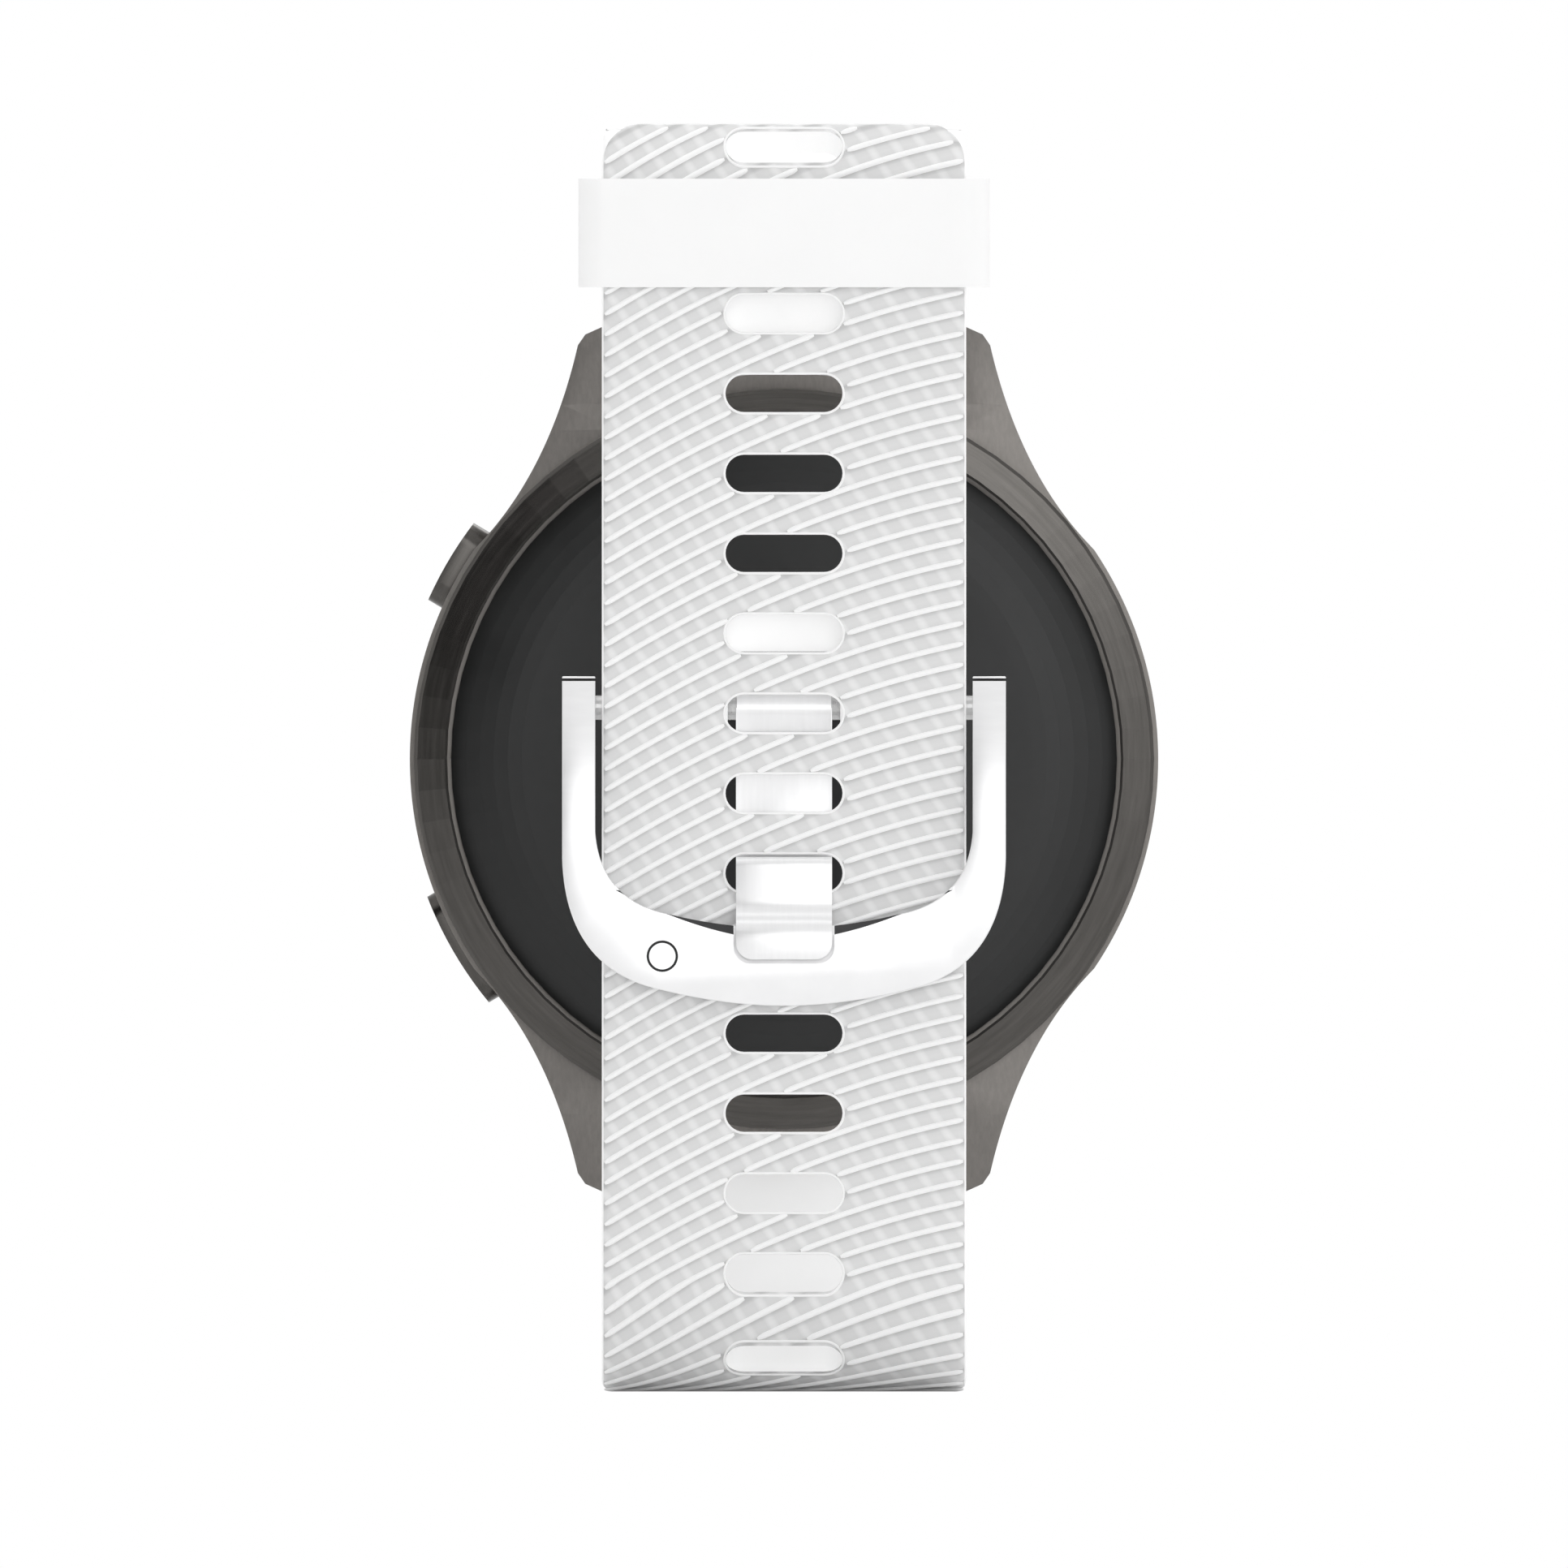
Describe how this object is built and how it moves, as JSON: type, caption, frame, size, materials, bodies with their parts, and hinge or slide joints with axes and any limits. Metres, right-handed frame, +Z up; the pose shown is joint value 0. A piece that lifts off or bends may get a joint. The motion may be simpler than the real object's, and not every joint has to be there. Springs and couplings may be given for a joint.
{
  "type": "gps running watch",
  "caption": "Round sports watch with a slotted silicone strap, pin buckle and keeper, side buttons and a rear optical sensor, closed and standing on its strap.",
  "frame": {"origin": "under the middle of the watch front to back, on the flat outer face of the strap loop that the watch stands on", "axes": "+Z up, from the 6 o'clock lugs to the 12 o'clock lugs; +Y out of the display; -Y towards the buckle; +X to the right seen from the buckle side"},
  "size_m": [0.0452, 0.0532, 0.0766],
  "materials": {
    "gunmetal_polymer": "metal-look coated polymer, satin",
    "gunmetal_steel": "dark bronze-grey coated steel, fine brushed",
    "black_polymer": "black, smooth semi-gloss",
    "dark_glass": "black-backed, polished",
    "display_black": "black, smooth",
    "silicone": "white silicone, soft matt",
    "buckle_steel": "bright polished steel",
    "bar_steel": "plain machined steel",
    "seal_rubber": "black, matt",
    "circuit_board": "green solder mask",
    "battery_wrap": "grey foil wrap",
    "gold_contact": "gold plate",
    "chassis_plastic": "dark grey moulded"
  },
  "bodies": {
    "tail_half": {"tail_strap": "silicone", "lower_spring_bar": "bar_steel"},
    "case": {"case_shell": "gunmetal_polymer", "upper_button_switch": "bar_steel", "middle_button_switch": "bar_steel", "lower_button_switch": "bar_steel", "rear_ring": "gunmetal_steel", "front_bezel": "gunmetal_steel", "cover_glass": "dark_glass", "display_module": "display_black", "front_gasket": "seal_rubber", "rear_cover": "black_polymer", "rear_gasket": "seal_rubber", "rear_screw_1": "bar_steel", "rear_screw_2": "bar_steel", "rear_screw_3": "bar_steel", "rear_screw_4": "bar_steel", "sensor_window": "dark_glass", "heart_rate_sensor_module": "circuit_board", "charging_port": "black_polymer", "charging_contact_1": "gold_contact", "charging_contact_2": "gold_contact", "charging_contact_3": "gold_contact", "charging_contact_4": "gold_contact", "inner_chassis": "chassis_plastic", "battery": "battery_wrap", "main_board": "circuit_board", "gps_antenna_ring": "gold_contact", "speaker": "bar_steel", "vibration_motor_can": "bar_steel"},
    "upper_button": {"upper_button": "gunmetal_steel"},
    "middle_button": {"middle_button": "gunmetal_steel"},
    "lower_button": {"lower_button": "gunmetal_steel"},
    "vibration_weight": {"vibration_motor_weight": "bar_steel"},
    "buckle_half": {"buckle_strap": "silicone", "upper_spring_bar": "bar_steel", "buckle_hinge_pin": "bar_steel"},
    "buckle_frame": {"buckle_frame": "buckle_steel"},
    "buckle_tongue": {"buckle_tongue": "buckle_steel"},
    "strap_keeper": {"strap_keeper": "silicone"},
    "upper_release_pin": {"upper_release_pin": "bar_steel"},
    "lower_release_pin": {"lower_release_pin": "bar_steel"}
  },
  "joints": [
    {"name": "case_hinge", "type": "hinge", "parent": "tail_half", "child": "case", "pos_m": [0, 0.0203, 0.01395], "axis": [-1, 0, 0], "range_deg": [0, 40], "deforming": ["tail_strap"]},
    {"name": "buckle_half_hinge", "type": "hinge", "parent": "case", "child": "buckle_half", "pos_m": [0, 0.0203, 0.06215], "axis": [-1, 0, 0], "range_deg": [0, 60]},
    {"name": "buckle_frame_hinge", "type": "hinge", "parent": "buckle_half", "child": "buckle_frame", "pos_m": [0, -0.0202, 0.04115], "axis": [-1, 0, 0], "range_deg": [0, 75]},
    {"name": "tongue_hinge", "type": "hinge", "parent": "buckle_frame", "child": "buckle_tongue", "pos_m": [0, -0.0202, 0.04115], "axis": [-1, 0, 0], "range_deg": [0, 45]},
    {"name": "keeper_slide", "type": "slide", "parent": "buckle_half", "child": "strap_keeper", "axis": [0, 0, 1], "range_m": [-0.01, 0]},
    {"name": "upper_button_press", "type": "slide", "parent": "case", "child": "upper_button", "axis": [0.8599, 0, -0.5105], "range_m": [0, 0.0004], "stiffness_N_per_m": 900},
    {"name": "middle_button_press", "type": "slide", "parent": "case", "child": "middle_button", "axis": [1, 0, 0], "range_m": [0, 0.0004], "stiffness_N_per_m": 900},
    {"name": "lower_button_press", "type": "slide", "parent": "case", "child": "lower_button", "axis": [0.8634, 0, 0.5045], "range_m": [0, 0.0004], "stiffness_N_per_m": 900},
    {"name": "upper_bar_release", "type": "slide", "parent": "buckle_half", "child": "upper_release_pin", "axis": [1, 0, 0], "range_m": [0, 0.001], "stiffness_N_per_m": 700},
    {"name": "lower_bar_release", "type": "slide", "parent": "tail_half", "child": "lower_release_pin", "axis": [1, 0, 0], "range_m": [0, 0.001], "stiffness_N_per_m": 700},
    {"name": "vibration_spin", "type": "hinge", "parent": "case", "child": "vibration_weight", "pos_m": [-0.0116, 0.0196, 0.03805], "axis": [0, 1, 0], "continuous": true}
  ]
}
